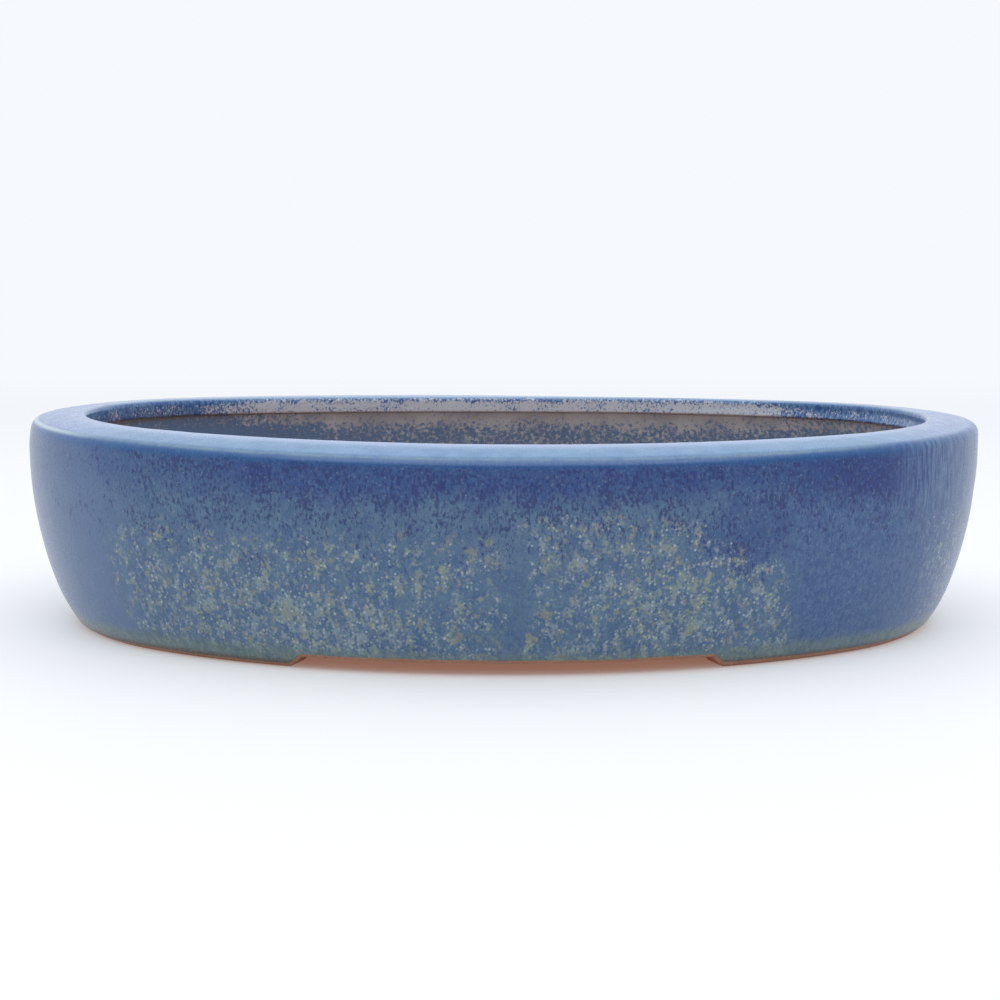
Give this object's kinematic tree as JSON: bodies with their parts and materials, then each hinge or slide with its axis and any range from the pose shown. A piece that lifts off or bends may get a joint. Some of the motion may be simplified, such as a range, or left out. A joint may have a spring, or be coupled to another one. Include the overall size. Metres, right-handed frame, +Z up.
{
  "type": "bonsai pot",
  "caption": "Shallow oval bonsai pot in glazed stoneware: broad inward rim, curved walls, two low feet, drain and tie-wire holes.",
  "frame": {"origin": "on the surface the feet stand on, under the middle of the oval", "axes": "+X along the pot's length, +Y from front to back, +Z up"},
  "size_m": [0.3, 0.218, 0.064],
  "materials": {
    "clay": "bare fired red-brown stoneware, matt and slightly sandy",
    "glaze": "satin mottled cobalt blue with pale green and rust flecks, paler on the rim",
    "inner_glaze": "thin grey-blue glaze over clay, satin"
  },
  "bodies": {
    "root": {"wall": "clay", "rim_band": "clay", "rim_coil": "clay", "floor_slab": "clay", "corner_coil": "clay", "foot_left": "clay", "foot_right": "clay", "glaze_outside": "glaze", "glaze_inside": "inner_glaze"}
  },
  "joints": []
}
